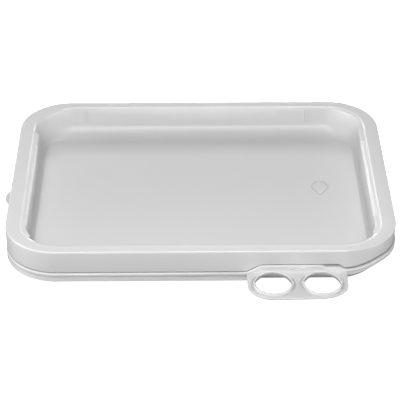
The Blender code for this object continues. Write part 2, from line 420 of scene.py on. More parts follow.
@dataclass(frozen=True)
class PalettePaper:
    """Damp palette paper: a smooth parchment with faint fibres and cloudy formation."""

    name: str
    light: Colour = (0.86, 0.85, 0.81, 1.0)
    deep: Colour = (0.78, 0.77, 0.72, 1.0)
    relief: float = 0.0012
    fibre_grain: Grain = Grain(1.0, 2.0, 0.55)

    def made(self) -> bpy.types.Material:
        """Return the material."""
        recipe = Recipe(self.name)
        place = recipe.place()
        formation = recipe.noise(place, Grain(130.0, 3.0, 0.6))
        fibres = recipe.noise(recipe.place((240.0, 1900.0, 400.0), (0.0, 0.0, 0.3)), self.fibre_grain)
        across = recipe.noise(recipe.place((1700.0, 260.0, 400.0), (0.0, 0.0, -0.2)), self.fibre_grain)
        cockle = recipe.noise(place, Grain(9.0, 1.0))
        share = (formation * 0.6 + fibres * 0.3 + across * 0.3).ramped(0.25, 0.95)
        height = cockle * 0.5 + fibres * 0.012 + across * 0.012 + formation * 0.01
        return recipe.finish(
            {"IOR": 1.47, "Specular IOR Level": 0.4},
            base_color=recipe.blended(share, self.deep, self.light),
            roughness=(formation - 0.5) * 0.12 + 0.52,
            normal=recipe.bumped(height, self.relief),
        )


@dataclass(frozen=True)
class StudioWhite:
    """A lit white studio floor with a barely visible mottle."""

    name: str
    glow: float = 0.96
    mottle: Grain = Grain(7.0)

    def made(self) -> bpy.types.Material:
        """Return the material."""
        recipe = Recipe(self.name)
        mottle = recipe.noise(recipe.place(), self.mottle)
        colour = recipe.blended(mottle, (0.90, 0.90, 0.90, 1.0), (0.92, 0.92, 0.92, 1.0))
        roughness = (mottle - 0.5) * 0.05 + 0.85
        constants = {
            "Specular IOR Level": 0.1,
            "Emission Color": (1.0, 1.0, 1.0, 1.0),
            "Emission Strength": self.glow,
        }
        return recipe.finish(constants, base_color=colour, roughness=roughness)


# --------------------------------------------------------------------------------------------------
# The outline and the sections that are swept round it
# --------------------------------------------------------------------------------------------------


class Stop(NamedTuple):
    """A place on the outline.

    The share of the side's run goes from -1 to 1, and the turn is that of the corner after the side.
    """

    side: int
    share: float
    turn: float
    distance: float

    def bend(self, start: float, end: float) -> float:
        """Return 0 on front and back and 1 on the sides, risen between two angles of a corner."""
        angle = self.turn if self.side % 2 == 0 else QUARTER - self.turn
        return eased(math.degrees(angle), start, end)


@dataclass(frozen=True)
class Outline:
    """The rounded rectangle that is the box's outer edge, seen from above."""

    length: float = 0.4064
    depth: float = 0.3048
    radius: float = 0.0558
    tightest: float = 0.004

    @property
    def arc(self) -> float:
        """Return the length of a corner."""
        return self.radius * QUARTER

    def run(self, side: int) -> float:
        """Return half of the straight part of a side."""
        return (self.length if side % 2 == 0 else self.depth) / 2 - self.radius

    def start(self, side: int) -> float:
        """Return the distance, from the middle of the front, at which a side's straight part starts."""
        passed = -self.run(0)
        for before in range(side):
            passed += 2 * self.run(before) + self.arc
        return passed

    def along(self, side: Side, place: float) -> float:
        """Return the distance of a point on a side, from its X on front and back, else from its Y."""
        signed = place if side in (Side.FRONT, Side.RIGHT) else -place
        return self.start(side.value) + self.run(side.value) + signed

    def stop(self, distance: float) -> Stop:
        """Return the stop at a distance along the outline from the middle of the front."""
        for side in range(4):
            inside = distance - self.start(side)
            straight = 2 * self.run(side)
            if inside <= straight + HAIR:
                return Stop(side, inside / self.run(side) - 1.0, 0.0, distance)
            if inside < straight + self.arc - HAIR:
                return Stop(side, 1.0, (inside - straight) / self.radius, distance)
        return Stop(0, -1.0, 0.0, distance)

    def stops(self, corner_steps: int, pitch: float, dense: Sequence[Stretch]) -> list[Stop]:
        """Return the stops of a sweep.

        Args:
            corner_steps: How many steps each corner is divided into.
            pitch: The longest step on the straight parts.
            dense: Stretches that get more stops, as start, end and number of steps.

        Returns:
            The stops in order round the outline, each once.
        """
        found: set[float] = set()
        for side in range(4):
            first, straight = self.start(side), 2 * self.run(side)
            found.update(self._steps(first, straight, max(2, math.ceil(straight / pitch))))
            found.update(self._steps(first + straight, self.arc, corner_steps)[1:-1])
        for low, high, steps in dense:
            found = {distance for distance in found if not low < distance < high}
            found.update(self._steps(low, high - low, steps))
        kept: list[float] = []
        for distance in sorted(found):
            if not kept or distance - kept[-1] > CLOSEST_STOPS:
                kept.append(distance)
        return [self.stop(distance) for distance in kept]

    @staticmethod
    def _steps(first: float, length: float, steps: int) -> list[float]:
        """Return the ends of equal steps along a stretch."""
        return [round(first + length * step / steps, STOP_DIGITS) for step in range(steps + 1)]

    def place(self, stop: Stop, inset_x: float, inset_y: float) -> Point:
        """Return the point at a stop, drawn in from the outline.

        Args:
            stop: Where on the outline.
            inset_x: How far the left and right sides are drawn in.
            inset_y: How far the front and back are drawn in.

        Returns:
            X and Y.
        """
        halves = (self.length / 2 - inset_x, self.depth / 2 - inset_y)
        radius = max(self.radius - (inset_x + inset_y) / 2, self.tightest)
        angle = stop.side * QUARTER
        along = (math.cos(angle), math.sin(angle))
        outward = (math.sin(angle), -math.cos(angle))
        forth = stop.share * (halves[stop.side % 2] - radius) + radius * math.sin(stop.turn)
        out = halves[(stop.side + 1) % 2] - radius + radius * math.cos(stop.turn)
        return (forth * along[0] + out * outward[0], forth * along[1] + out * outward[1])


class Knee(NamedTuple):
    """A corner of a section: how far it is drawn in, its height, its rounding, and its edge wear, which
    also paints a highlight.
    """

    inset_x: float
    inset_y: float
    height: float
    rounding: float = 0.0
    wear_and_highlight: float = 0.0


class WallKnee(NamedTuple):
    """A knee of the recess's wall: how far in and how deep it is at each kind of place round it."""

    straight: Point
    corner: Point
    pad: Point
    rail: Point
    rounding: float
    wear_and_highlight: float = 0.0
    corner_across: float = 0.0

    def at(self, bend: float, padded: float, railed: float, top: float) -> Knee:
        """Return the knee where the wall is partly of each kind.

        Args:
            bend: 0 on the front and back, 1 in the corners and on the sides.
            padded: 1 where a side has its pad or its rail.
            railed: 1 where a side has its rail.
            top: The rim's height.

        Returns:
            The knee of the section.
        """
        inward = mixed(mixed(self.corner[0], self.pad[0], padded), self.rail[0], railed)
        deep = mixed(mixed(self.corner[1], self.pad[1], padded), self.rail[1], railed)
        across = mixed(self.straight[0], self.corner_across or self.corner[0], bend)
        return Knee(inward, across, top - mixed(self.straight[1], deep, bend), self.rounding, self.wear_and_highlight)


class EdgeStep(NamedTuple):
    """A smooth change of an edge's height between two distances along the outline."""

    start: float
    end: float
    level: float


def edge_height(level: float, steps: Sequence[EdgeStep], distance: float) -> float:
    """Return an edge's height at a distance along the outline, after its smooth changes."""
    for step in steps:
        level = mixed(level, step.level, eased(distance, step.start, step.end))
    return level


def rounded(knees: Sequence[Knee]) -> list[Knee]:
    """Round every knee that has a rounding.

    Args:
        knees: The section's corners in order.

    Returns:
        The section's points, as knees without rounding.
    """
    points: list[Knee] = []
    for number, knee in enumerate(knees):
        if not knee.rounding or number in (0, len(knees) - 1):
            points.append(knee)
            continue
        here = Vector(knee[:3])
        ends = []
        for other in (knees[number - 1], knees[number + 1]):
            way = Vector(other[:3]) - here
            reach = min(knee.rounding, way.length * LONGEST_ROUNDING)
            ends.append(here + way.normalized() * reach)
        for step in range(ROUNDING_STEPS + 1):
            share = step / ROUNDING_STEPS
            spot = ends[0] * (1 - share) ** 2 + here * 2 * share * (1 - share) + ends[1] * share**2
            points.append(Knee(spot.x, spot.y, spot.z, 0.0, knee.wear_and_highlight * math.sin(math.pi * share)))
    return points


def placed_object(name: str, mesh: bpy.types.Mesh, material: bpy.types.Material) -> bpy.types.Object:
    """Link a mesh as a piece at the origin, with a material.

    Args:
        name: The piece's name.
        mesh: Its mesh, with its place in it.
        material: Its only material.

    Returns:
        The object.
    """
    mesh.name = name
    mesh.materials.clear()
    mesh.materials.append(material)
    piece = bpy.data.objects.new(name, mesh)
    bpy.context.scene.collection.objects.link(piece)
    return piece


def evaluated_mesh(carrier: bpy.types.Object) -> bpy.types.Mesh:
    """Return an object's mesh as its curve settings and modifiers leave it, and remove the object."""
    bpy.context.scene.collection.objects.link(carrier)
    bpy.context.view_layer.update()
    evaluated = carrier.evaluated_get(bpy.context.evaluated_depsgraph_get())
    mesh = bpy.data.meshes.new_from_object(evaluated)
    bpy.data.objects.remove(carrier, do_unlink=True)
    return mesh


def tidy_mesh(mesh: bpy.types.Mesh, sharp_degrees: float = 32.0) -> bpy.types.Mesh:
    """Merge doubled points, turn the faces outwards and shade them smooth up to an angle."""
    bm = bmesh.new()
    bm.from_mesh(mesh)
    bmesh.ops.remove_doubles(bm, verts=bm.verts, dist=DOUBLED)
    bmesh.ops.recalc_face_normals(bm, faces=bm.faces)
    bm.to_mesh(mesh)
    bm.free()
    mesh.shade_smooth()
    mesh.set_sharp_from_angle(angle=math.radians(sharp_degrees))
    return mesh


@dataclass
class Sweep:
    """A closed shell: a section swept round the outline, with its first and last ring filled in."""

    outline: Outline
    stops: list[Stop]
    section: Callable[[Stop], list[Knee]]
    bow_first: float = 0.0
    bow_last: float = 0.0
    fill_shares: tuple[float, ...] = (0.93, 0.84, 0.72, 0.58, 0.43, 0.28, 0.14)
    points: list[Place] = field(default_factory=list)
    wear_and_highlight: list[float] = field(default_factory=list)
    faces: list[tuple[int, ...]] = field(default_factory=list)

    def mesh(self, name: str) -> bpy.types.Mesh:
        """Return the shell as a mesh with its edge wear and painted highlight in an attribute."""
        rings = [self._ring(stop) for stop in self.stops]
        count, depth = len(rings), len(rings[0])
        for ring in rings:
            for x, y, z, wear_and_highlight in ring:
                self.points.append((x, y, z))
                self.wear_and_highlight.append(wear_and_highlight)
        for here in range(count):
            after = (here + 1) % count
            for level in range(depth - 1):
                low, high = here * depth + level, after * depth + level
                self.faces.append((low, high, high + 1, low + 1))
        self._fill([number * depth for number in range(count)], self.bow_first)
        self._fill([number * depth + depth - 1 for number in range(count)], self.bow_last)
        mesh = bpy.data.meshes.new(name)
        mesh.from_pydata(self.points, [], self.faces)
        attribute = mesh.attributes.new(WEAR_AND_HIGHLIGHT, "FLOAT", "POINT")
        attribute.data.foreach_set("value", self.wear_and_highlight)
        return tidy_mesh(mesh)

    def _ring(self, stop: Stop) -> list[tuple[float, float, float, float]]:
        """Return the section's points and their edge wear and painted highlight at a stop."""
        found = []
        for knee in rounded(self.section(stop)):
            x, y = self.outline.place(stop, knee.inset_x, knee.inset_y)
            found.append((x, y, knee.height, knee.wear_and_highlight))
        return found

    def _fill(self, ring: list[int], bow: float) -> None:
        """Close a ring with smaller rings and a fan, raised in the middle by a bow."""
        edge = [self.points[number] for number in ring]
        reach_x = max(x for x, _, _ in edge)
        reach_y = max(y for _, y, _ in edge)
        outer = ring
        for share in self.fill_shares:
            inner = []
            for x, y, z in edge:
                across, deep = min(abs(x * share / reach_x), 1.0), min(abs(y * share / reach_y), 1.0)
                rise = (1 - across**2) ** 2 * (1 - deep**2) ** 2
                inner.append(len(self.points))
                self.points.append((x * share, y * share, z + bow * rise))
                self.wear_and_highlight.append(0.0)
            for here in range(len(ring)):
                after = (here + 1) % len(ring)
                self.faces.append((outer[here], outer[after], inner[after], inner[here]))
            outer = inner
        middle = len(self.points)
        self.points.append((0.0, 0.0, edge[0][2] + bow))
        self.wear_and_highlight.append(0.0)
        for here in range(len(ring)):
            self.faces.append((outer[here], outer[(here + 1) % len(ring)], middle))


# --------------------------------------------------------------------------------------------------
# Geometry Nodes
# --------------------------------------------------------------------------------------------------


class NodeBench(Bench):
    """A Geometry Nodes tree under construction, and the run that turns it into a plain mesh."""

    def __init__(self, name: str, inputs: dict[str, tuple[str, object]]) -> None:
        """Start a tree that takes geometry and the named inputs, each a socket type and its value."""
        super().__init__(bpy.data.node_groups.new(name, "GeometryNodeTree"))
        self.values: dict[str, object] = {}
        faces = self.tree.interface
        faces.new_socket("Geometry", in_out="INPUT", socket_type="NodeSocketGeometry")
        faces.new_socket("Geometry", in_out="OUTPUT", socket_type="NodeSocketGeometry")
        for key, (kind, value) in inputs.items():
            socket = faces.new_socket(key, in_out="INPUT", socket_type=kind)
            self.values[socket.identifier] = value
        self.inputs = self.node("NodeGroupInput")

    def given(self, key: str) -> Wire:
        """Return one of the tree's inputs."""
        return Wire(self, self.inputs.outputs[key])

    def close(self, geometry: Wire) -> None:
        """End the tree: instances made real, the material set, and the result put out."""
        real = self.wire("GeometryNodeRealizeInstances", None, {"Geometry": geometry})
        values = {"Geometry": real, "Material": self.given("Material")}
        self.node("NodeGroupOutput", None, {0: self.wire("GeometryNodeSetMaterial", None, values)})

    def run(self, name: str, mesh: bpy.types.Mesh) -> bpy.types.Mesh:
        """Run the tree on a mesh.

        Args:
            name: The name of the resulting mesh.
            mesh: What the tree is given.

        Returns:
            The result as a plain mesh.
        """
        carrier = bpy.data.objects.new(f"{name}_carrier", mesh)
        modifier = carrier.modifiers.new("nodes", "NODES")
        modifier.node_group = self.tree
        for identifier, value in self.values.items():
            modifier[identifier] = value
        made = evaluated_mesh(carrier)
        made.name = name
        return made


class Mark(NamedTuple):
    """Where a small moulded mark stands and how it is turned."""

    place: Place
    turn: Place = (0.0, 0.0, 0.0)


@dataclass(frozen=True)
class MouldMarks:
    """Equal small rounded bars moulded onto a surface, one for each mark."""

    name: str
    size: Place
    marks: tuple[Mark, ...]
    softness: int = 2
    crease: float = 0.45

    def made(self, material: bpy.types.Material) -> bpy.types.Object:
        """Return all the marks as one piece.

        Args:
            material: What they are moulded from.

        Returns:
            The piece.
        """
        bench = NodeBench(
            f"{self.name}_nodes",
            {
                "Bar Size": ("NodeSocketVector", self.size),
                "Softness": ("NodeSocketInt", self.softness),
                "Material": ("NodeSocketMaterial", material),
            },
        )
        block = bench.wire("GeometryNodeMeshCube", None, {"Size": bench.given("Bar Size")})
        values = {"Mesh": block, "Level": bench.given("Softness"), "Edge Crease": self.crease}
        soft = bench.wire("GeometryNodeSubdivisionSurface", None, values)
        values = {"Geometry": soft, "Shade Smooth": True}
        smooth = bench.wire("GeometryNodeSetShadeSmooth", {"domain": "FACE"}, values)
        kind = {"data_type": "FLOAT_VECTOR"}
        turn = bench.wire("GeometryNodeInputNamedAttribute", kind, {"Name": TURN}, "Attribute")
        values = {"Mesh": bench.given("Geometry")}
        values = {
            "Points": bench.wire("GeometryNodeMeshToPoints", {"mode": "VERTICES"}, values),
            "Instance": smooth,
            "Rotation": bench.wire("FunctionNodeEulerToRotation", None, {0: turn}),
        }
        bench.close(bench.wire("GeometryNodeInstanceOnPoints", None, values))
        mesh = bpy.data.meshes.new(f"{self.name}_points")
        mesh.from_pydata([mark.place for mark in self.marks], [], [])
        attribute = mesh.attributes.new(TURN, "FLOAT_VECTOR", "POINT")
        attribute.data.foreach_set("vector", [angle for mark in self.marks for angle in mark.turn])
        return placed_object(self.name, bench.run(self.name, mesh), material)


# --------------------------------------------------------------------------------------------------
# Flat moulded details
# --------------------------------------------------------------------------------------------------


@dataclass(frozen=True)
class Plate:
    """A flat plate with rounded edges, given by its outline and the outlines of its holes."""

    name: str
    bottom: float
    top: float
    edge: float = 0.0005

    def mesh(self, outline: Sequence[Point], holes: Sequence[Sequence[Point]] = ()) -> bpy.types.Mesh:
        """Return the plate as a mesh, lying flat.

        Args:
            outline: The outer edge, which the rounding doesn't pass.
            holes: The edges of the holes.

        Returns:
            The mesh.
        """
        curve = bpy.data.curves.new(self.name, "CURVE")
        curve.dimensions = "2D"
        curve.fill_mode = "BOTH"
        curve.extrude = (self.top - self.bottom) / 2 - self.edge
        curve.bevel_depth = self.edge
        curve.offset = -self.edge
        curve.bevel_resolution = 2
        for ring in (outline, *holes):
            spline = curve.splines.new("POLY")
            spline.points.add(len(ring) - 1)
            for point, (x, y) in zip(spline.points, ring):
                point.co = (x, y, 0.0, 1.0)
            spline.use_cyclic_u = True
        mesh = evaluated_mesh(bpy.data.objects.new(self.name, curve))
        mesh.transform(Matrix.Translation((0.0, 0.0, (self.top + self.bottom) / 2)))
        return tidy_mesh(mesh, 40.0)


def swung(centre: Point, radius: float, angle: float) -> Point:
    """Return the point at a radius and an angle from a centre."""
    return (centre[0] + radius * math.cos(angle), centre[1] + radius * math.sin(angle))


def arc(centre: Point, radius: float, start: float, end: float, steps: int) -> list[Point]:
    """Return points on an arc.

    Args:
        centre: The arc's centre.
        radius: Its radius.
        start: Its first angle in degrees.
        end: Its last angle in degrees.
        steps: How many steps it is drawn with.

    Returns:
        The points, both ends included.
    """
    angles = [math.radians(mixed(start, end, step / steps)) for step in range(steps + 1)]
    return [swung(centre, radius, angle) for angle in angles]


def arrow_ring(tip: Point, neck: float, tail: float, head: float, shaft: float) -> list[Point]:
    """Return the outline of an arrow that points to the left.

    Args:
        tip: Its point.
        neck: The X at which head and shaft meet.
        tail: The X of its blunt end.
        head: Half of the head's width.
        shaft: Half of the shaft's width.

    Returns:
        The outline's points, from the tip.
    """
    half = [(neck, head), (neck, shaft), (tail, shaft)]
    upper = [(x, tip[1] + rise) for x, rise in half]
    lower = [(x, tip[1] - rise) for x, rise in reversed(half)]
    return [tip, *upper, *lower]


def stroke(path: Sequence[Point], width: float) -> list[Point]:
    """Return the outline of a line of a width that follows a path, with square ends."""
    left, right = [], []
    for number, (x, y) in enumerate(path):
        before = Vector(path[max(number - 1, 0)])
        after = Vector(path[min(number + 1, len(path) - 1)])
        way = (after - before).normalized() * width / 2
        left.append((x - way.y, y + way.x))
        right.append((x + way.y, y - way.x))
    return left + right[::-1]


def lathe(name: str, centre: Point, section: Sequence[Point], steps: int) -> bpy.types.Mesh:
    """Turn a closed section round an upright axis.

    Args:
        name: The mesh's name.
        centre: The axis's X and Y.
        section: The section's points, as radius and height.
        steps: How many steps a full turn has.

    Returns:
        The mesh.
    """
    points, faces = [], []
    count = len(section)
    for step in range(steps):
        angle = 2 * math.pi * step / steps
        here, after = step * count, (step + 1) % steps * count
        for number, (radius, height) in enumerate(section):
            beyond = (number + 1) % count
            points.append((*swung(centre, radius, angle), height))
            faces.append((here + number, after + number, after + beyond, here + beyond))
    mesh = bpy.data.meshes.new(name)
    mesh.from_pydata(points, [], faces)
    return tidy_mesh(mesh, 50.0)


# --------------------------------------------------------------------------------------------------
# The palette's pieces
# --------------------------------------------------------------------------------------------------


@dataclass(frozen=True)
class BoxSizes:
    """The sizes that the lid and the tray share."""

    outline: Outline = field(default_factory=Outline)
    height: float = 0.04445
    wall: float = 0.0018
    gap: float = 0.0003
    notch_start: float = 0.0432
    notch_full: float = 0.0635
    nail_start: float = 0.1196
    nail_full: float = 0.1274
    peel_start: float = 0.1390
    peel_length: float = 0.030
    corner_steps: int = 36

    @property
    def peel_full(self) -> float:
        """Return where the edge has risen fully, at the end of the front's straight part."""
        return self.outline.run(0)

    @property
    def corner_middle(self) -> float:
        """Return the middle of the right front corner, where the edge is at its highest."""
        return self.outline.run(0) + self.outline.arc / 2

    @property
    def corner_end(self) -> float:
        """Return where the right front corner ends."""
        return self.outline.start(1)

    @property
    def peel_end(self) -> float:
        """Return where the edge is low again, on the right side."""
        return self.corner_end + self.peel_length

    def tab_stretches(self) -> list[Stretch]:
        """Return the stretches of the outline where the edges change height."""
        return [
            (self.notch_start, self.notch_full, 18),
            (self.nail_start, self.nail_full, 10),
            (self.peel_start, self.peel_full, 10),
            (self.corner_end, self.peel_end, 12),
        ]


@dataclass
class Lid:
    """The lift-off lid: a deep recessed panel, side rails, a flat rim and an overhanging skirt."""

    box: BoxSizes
    recess: float = 0.0325
    rim_round: float = 0.0026
    peel_round: float = 0.0008
    rim_inset: float = 0.0002
    skirt_inset: float = 0.0008
    inner_inset: float = 0.0020
    peel_lean: float = 0.0006
    skirt_foot: float = 0.01905
    skirt_notch: float = 0.02745
    skirt_peel: float = 0.02355
    skirt_corner: float = 0.0290
    rail_reach: tuple[Point, Point] = ((-0.0960, 0.0570), (-0.0850, 0.0640))
    pad_reach: tuple[Point, Point] = ((-0.1320, 0.0850), (-0.1260, 0.0940))
    rail_fade: float = 0.0016
    pad_fade: float = 0.0100
    bend_start: float = 0.0
    bend_end: float = 62.0
    bow: float = 0.0007
    pitch: float = 0.012
    peel_sharpening: Point = (0.0004, 0.0016)
    peel_inset: float = 0.0003
    skirt_tip: float = 0.0006
    under_inset: float = 0.9
    under_drop: float = 0.35
    rib_x: tuple[float, ...] = (-0.1314, -0.1284, 0.1224, 0.1262)
    rib_size: Place = (0.0012, 0.0020, 0.0150)
    rib_depth: float = 0.0115
    rib_rise: float = 0.0006
    rim_marks: tuple[Place, ...] = (
        (-0.1127, -0.1434, 0.3),
        (-0.0078, -0.1434, 1.2),
        (-0.1900, 0.0670, 0.25),
        (0.1990, 0.1050, -0.4),
    )
    rim_mark_size: Place = (0.0042, 0.0009, 0.0008)
    rim_mark_depth: float = 0.00042
    arrow_tip: Point = (0.0985, -0.1448)
    arrow_reach: Point = (0.0052, 0.003744)
    arrow_line: float = 0.0010
    emblem_centre: Point = (0.1330, 0.0190)
    emblem_radius: float = 0.0092
    emblem_peak: float = 0.0165
    emblem_lines: Point = (0.0016, 0.0014)
    emblem_depths: Point = (0.0004, 0.0007)
    name: str = "lid_shell"
    wall: tuple[WallKnee, ...] = (
        WallKnee((0.0285, 0.0325), (0.0280, 0.0325), (0.0278, 0.0325), (0.0278, 0.0325), 0.0),
        WallKnee((0.0220, 0.0306), (0.0250, 0.0292), (0.0247, 0.0300), (0.0247, 0.0300), 0.0045),
        WallKnee((0.0155, 0.0240), (0.0218, 0.0205), (0.0233, 0.0240), (0.0233, 0.0240), 0.0028),
        WallKnee((0.0140, 0.0143), (0.0203, 0.0143), (0.0226, 0.0143), (0.0229, 0.0143), 0.0003, 0.3),
        WallKnee((0.0139, 0.0138), (0.0202, 0.0138), (0.0226, 0.0138), (0.0225, 0.0138), 0.0003),
        WallKnee((0.0123, 0.0035), (0.0182, 0.0046), (0.0221, 0.0034), (0.0221, 0.0060), 0.0005, 0.5),
        WallKnee((0.0122, 0.0028), (0.0177, 0.0031), (0.0217, 0.0020), (0.0193, 0.0030), 0.0008, 0.7),
        WallKnee((0.0121, 0.0020), (0.0173, 0.0022), (0.0205, 0.0016), (0.0188, 0.0017), 0.0003, 0.6),
        WallKnee(
            (0.0119, 0.0012), (0.0163, 0.0012), (0.0163, 0.0013), (0.0163, 0.0013), 0.0003, 0.0, 0.0126
        ),
        WallKnee((0.0115, 0.0), (0.0155, 0.0), (0.0155, 0.0), (0.0155, 0.0), 0.0009, 0.5, 0.0115),
    )

    def dressed(self, material: bpy.types.Material) -> list[bpy.types.Object]:
        """Make the lid's pieces.

        Args:
            material: The lid's plastic.

        Returns:
            The shell, its moulding marks, its arrow and its emblem.
        """
        shell = placed_object(self.name, self._shell(), material)
        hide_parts("lid")
        pieces = [shell, *self._marks(material), self._arrow(material), self._emblem(material)]
        for piece in pieces:
            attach(piece, Body.LID.value)
        return pieces

    def _stretches(self, reaches: tuple[Point, Point]) -> list[Point]:
        """Return where a part of the left and of the right wall starts and ends along the outline."""
        outline = self.box.outline
        (left_front, left_back), (right_front, right_back) = reaches
        return [
            (outline.along(Side.RIGHT, right_front), outline.along(Side.RIGHT, right_back)),
            (outline.along(Side.LEFT, left_back), outline.along(Side.LEFT, left_front)),
        ]

    def _within(self, stop: Stop, reaches: tuple[Point, Point], fade: float) -> float:
        """Return 1 inside a part of the side walls and 0 outside, with smooth ends."""
        found = 0.0
        for start, end in self._stretches(reaches):
            rise = eased(stop.distance, start - fade / 2, start + fade / 2)
            found = max(found, rise * (1.0 - eased(stop.distance, end - fade / 2, end + fade / 2)))
        return found

    def _stops(self) -> list[Stop]:
        """Return the sweep's stops, denser where the edge changes height and where pads and rails end."""
        dense = self.box.tab_stretches()
        rails, pads = (self.rail_reach, self.rail_fade, 8), (self.pad_reach, self.pad_fade, 10)
        for reaches, fade, steps in (rails, pads):
            for ends in self._stretches(reaches):
                dense += [(end - fade / 2, end + fade / 2, steps) for end in ends]
        near, far = self.peel_sharpening
        dense.append((self.box.peel_full + near, self.box.peel_full + far, 5))
        return self.box.outline.stops(self.box.corner_steps, self.pitch, dense)

    def _recess(self, stop: Stop) -> list[Knee]:
        """Return the section of the recess, from the panel's edge up to the rim's inner edge."""
        bend = stop.bend(self.bend_start, self.bend_end)
        padded = self._within(stop, self.pad_reach, self.pad_fade)
        railed = self._within(stop, self.rail_reach, self.rail_fade)
        return [knee.at(bend, padded, railed, self.box.height) for knee in self.wall]

    def _section(self, stop: Stop) -> list[Knee]:
        """Return the lid's section at a stop, from the panel over the rim to the panel's underside."""
        box, top, wall = self.box, self.box.height, self.box.wall
        steps = (
            EdgeStep(box.notch_start, box.notch_full, self.skirt_notch),
            EdgeStep(box.peel_start, box.peel_full, self.skirt_peel),
            EdgeStep(box.peel_full, box.corner_middle, self.skirt_corner),
            EdgeStep(box.corner_end, box.peel_end, self.skirt_foot),
        )
        foot = edge_height(self.skirt_foot, steps, stop.distance)
        near, far = self.peel_sharpening
        peeled = eased(stop.distance, box.peel_full + near, box.peel_full + far)
        peeled *= 1.0 - eased(stop.distance, box.corner_end, box.peel_end)
        edge = self.rim_inset + peeled * self.peel_inset
        lean = self.peel_lean * eased(stop.distance, box.peel_full, box.corner_middle)
        skirt = self.skirt_inset + lean * peeled
        inner = max(self.inner_inset, skirt + self.skirt_tip)
        soft = mixed(self.rim_round, self.peel_round, peeled)
        upper = self._recess(stop)
        rim = upper[-1]
        outer = [
            Knee(edge, edge, top, soft, 0.8),
            Knee(skirt, skirt, foot, 0.0004, 0.6),
            Knee(inner, inner, foot, 0.0003, 0.0),
            Knee(inner, inner, top - wall, 0.0010, 0.0),
            Knee(rim.inset_x - wall, rim.inset_y - wall, top - wall, 0.0010, 0.0),
        ]
        under = []
        for knee in upper[2:6][::-1]:
            inward, down = wall * self.under_inset, wall * self.under_drop
            moved = (knee.inset_x - inward, knee.inset_y - inward, knee.height - down)
            under.append(Knee(*moved, knee.rounding))
        last, inward = upper[0], wall * self.under_drop
        under.append(Knee(last.inset_x - inward, last.inset_y - inward, last.height - wall))
        return upper + outer + under

    def _shell(self) -> bpy.types.Mesh:
        """Return the lid's shell."""
        sweep = Sweep(self.box.outline, self._stops(), self._section, self.bow, self.bow * 0.8)
        return sweep.mesh(self.name)

    def _marks(self, material: bpy.types.Material) -> list[bpy.types.Object]:
        """Return the upright ribs on the back wall and the small marks that the mould leaves on the rim."""
        top = self.box.height
        high, low = self.wall[5].straight, self.wall[2].straight
        tilt = math.atan2(low[0] - high[0], low[1] - high[1])
        wall_y = self.box.outline.depth / 2 - (high[0] + low[0]) / 2 + self.rib_rise
        ribs = tuple(Mark((x, wall_y, top - self.rib_depth), (-tilt, 0.0, 0.0)) for x in self.rib_x)
        level = top - self.rim_mark_depth
        marks = tuple(Mark((x, y, level), (0.0, 0.0, turn)) for x, y, turn in self.rim_marks)
        return [
            MouldMarks("lid_wall_ribs", self.rib_size, ribs).made(material),
            MouldMarks("lid_rim_marks", self.rim_mark_size, marks).made(material),
        ]

    def _arrow(self, material: bpy.types.Material) -> bpy.types.Object:
        """Return the small open arrow on the front rim, which points to where the lid is lifted."""
        (x, y), (back, out) = self.arrow_tip, self.arrow_reach
        path = [(x + back, y + out), self.arrow_tip, (x + back, y - out)]
        top = self.box.height
        plate = Plate("lid_lift_arrow", top - 0.0006, top - 0.00001, 0.00015)
        return placed_object(plate.name, plate.mesh(stroke(path, self.arrow_line)), material)

    def _emblem(self, material: bpy.types.Material) -> bpy.types.Object:
        """Return the emblem on the panel: a plain raised line in the shape of a water drop."""
        centre, radius = self.emblem_centre, self.emblem_radius
        tip = (centre[0], centre[1] - self.emblem_peak)
        drop = [tip, *arc(centre, radius, -40.0, 220.0, 36), tip]
        glint = arc(centre, radius * 0.58, 10.0, 80.0, 10)
        level = self.box.height - self.recess + self.bow * 0.55
        below, above = self.emblem_depths
        plate = Plate("lid_emblem", level - below, level + above, 0.0003)
        bm = bmesh.new()
        for path, line in zip((drop, glint), self.emblem_lines):
            bm.from_mesh(plate.mesh(stroke(path, line)))
        mesh = bpy.data.meshes.new(plate.name)
        bm.to_mesh(mesh)
        bm.free()
        mesh.shade_smooth()
        mesh.set_sharp_from_angle(angle=math.radians(40.0))
        return placed_object(plate.name, mesh, material)


